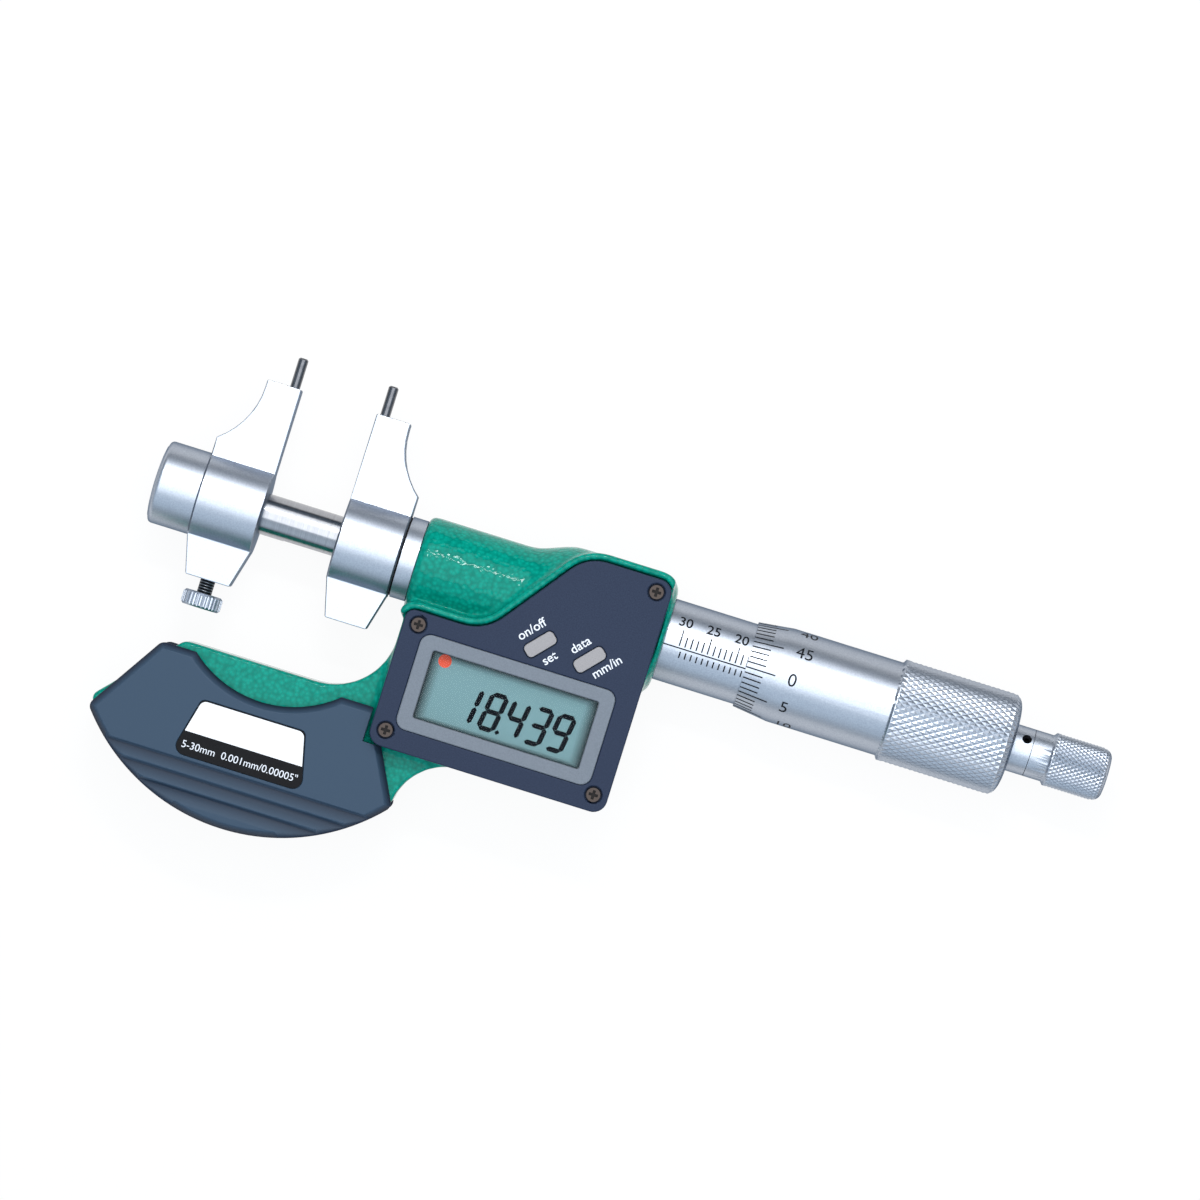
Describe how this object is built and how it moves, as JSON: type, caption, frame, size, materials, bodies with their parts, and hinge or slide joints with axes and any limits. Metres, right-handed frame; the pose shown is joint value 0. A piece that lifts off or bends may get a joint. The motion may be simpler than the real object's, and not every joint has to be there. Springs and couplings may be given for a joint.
{
  "type": "digital inside micrometer, caliper type",
  "caption": "Caliper-type inside micrometer: pinned jaws on a screw-driven rod, graduated thimble with ratchet, green bow frame with digital display.",
  "frame": {"origin": "on the flat back of the housing, under the spindle axis at the middle of the cover's width", "axes": "+X along the spindle towards the ratchet, +Y towards the measuring pins, +Z out of the display"},
  "size_m": [0.1713, 0.0811, 0.0204],
  "materials": {
    "enamel_green": "hammered enamel",
    "satin_chrome": "satin",
    "ground_steel": "ground",
    "blackened_steel": "black oxide",
    "bronzed_steel": "dark bronzed",
    "contact_brass": "plain",
    "panel_plastic": "fine grain",
    "grip_plastic": "fine grain",
    "bezel_plastic": "satin",
    "window_plastic": "clear",
    "display_glass": "grey-green",
    "circuit_laminate": "lacquered",
    "black_plastic": "plain",
    "black_rubber": "plain",
    "button_plastic": "satin",
    "label_aluminium": "printed"
  },
  "bodies": {
    "frame": {"frame": "enamel_green", "front_bush": "satin_chrome", "fixed_jaw": "satin_chrome", "fixed_pin": "ground_steel", "jaw_gasket": "black_rubber", "guide_key": "ground_steel", "inner_sleeve": "ground_steel", "scale_sleeve": "satin_chrome", "adjusting_nut": "ground_steel", "encoder_stator": "circuit_laminate", "front_cover": "panel_plastic", "cover_screws": "bronzed_steel", "display_bezel": "bezel_plastic", "display_window": "window_plastic", "lcd_panel": "display_glass", "lcd_connectors": "black_rubber", "circuit_board": "circuit_laminate", "tact_switches": "black_plastic", "battery_holder": "black_plastic", "battery_contact": "contact_brass", "button_cell": "ground_steel", "data_socket": "black_plastic", "data_port_cover": "panel_plastic", "front_grip": "grip_plastic", "rear_grip": "grip_plastic", "grip_label": "label_aluminium"},
    "moving_jaw": {"moving_jaw": "satin_chrome", "moving_pin": "ground_steel", "jaw_cap": "satin_chrome", "jaw_rod": "ground_steel", "thrust_washer": "contact_brass"},
    "thimble": {"spindle": "ground_steel", "spindle_end_nut": "ground_steel", "thimble": "satin_chrome", "ratchet_base": "satin_chrome", "ratchet_grub_screw": "blackened_steel", "ratchet_screw": "ground_steel"},
    "ratchet": {"ratchet_knob": "satin_chrome", "ratchet_spring": "ground_steel", "ratchet_plug": "satin_chrome"},
    "encoder_rotor": {"encoder_rotor": "circuit_laminate"},
    "lock_pad": {"lock_pad": "contact_brass"},
    "lock_screw": {"lock_stud": "blackened_steel", "lock_head": "satin_chrome"},
    "power_button": {"power_button": "button_plastic"},
    "data_button": {"data_button": "button_plastic"},
    "battery_seal": {"battery_seal": "black_rubber"},
    "battery_lid": {"battery_lid": "panel_plastic"}
  },
  "joints": [
    {"name": "jaw_slide", "type": "slide", "parent": "frame", "child": "moving_jaw", "axis": [-1, 0, 0], "range_m": [-0.013, 0.012]},
    {"name": "thimble_turn", "type": "hinge", "parent": "moving_jaw", "child": "thimble", "pos_m": [0, 0, 0.0095], "axis": [-1, 0, 0], "range_deg": [-9361, 8641]},
    {"name": "ratchet_turn", "type": "hinge", "parent": "thimble", "child": "ratchet", "pos_m": [0, 0, 0.0095], "axis": [-1, 0, 0], "continuous": true},
    {"name": "rotor_turn", "type": "hinge", "parent": "frame", "child": "encoder_rotor", "pos_m": [0, 0, 0.0095], "axis": [-1, 0, 0], "range_deg": [-9361, 8641]},
    {"name": "pad_slide", "type": "slide", "parent": "moving_jaw", "child": "lock_pad", "axis": [0, 1, 0], "range_m": [-0.0005, 0.00025]},
    {"name": "lock_turn", "type": "hinge", "parent": "lock_pad", "child": "lock_screw", "pos_m": [-0.05565, -0.0175, 0.0095], "axis": [0, 1, 0], "range_deg": [-361, 181]},
    {"name": "power_press", "type": "slide", "parent": "frame", "child": "power_button", "axis": [0, 0, -1], "range_m": [0, 0.00035], "stiffness_N_per_m": 500},
    {"name": "data_press", "type": "slide", "parent": "frame", "child": "data_button", "axis": [0, 0, -1], "range_m": [0, 0.00035], "stiffness_N_per_m": 500},
    {"name": "seal_slide", "type": "slide", "parent": "frame", "child": "battery_seal", "axis": [0, 0, -1], "range_m": [0, 0.0015]},
    {"name": "lid_turn", "type": "hinge", "parent": "battery_seal", "child": "battery_lid", "pos_m": [-0.006, -0.02, 0], "axis": [0, 0, -1], "range_deg": [-1, 721]}
  ],
  "couplings": [
    {"joint": "thimble_turn", "follows": "jaw_slide", "rad_per_m": 12566},
    {"joint": "rotor_turn", "follows": "jaw_slide", "rad_per_m": 12566},
    {"joint": "lock_turn", "follows": "pad_slide", "rad_per_m": 12566},
    {"joint": "lid_turn", "follows": "seal_slide", "rad_per_m": 8377.6}
  ]
}
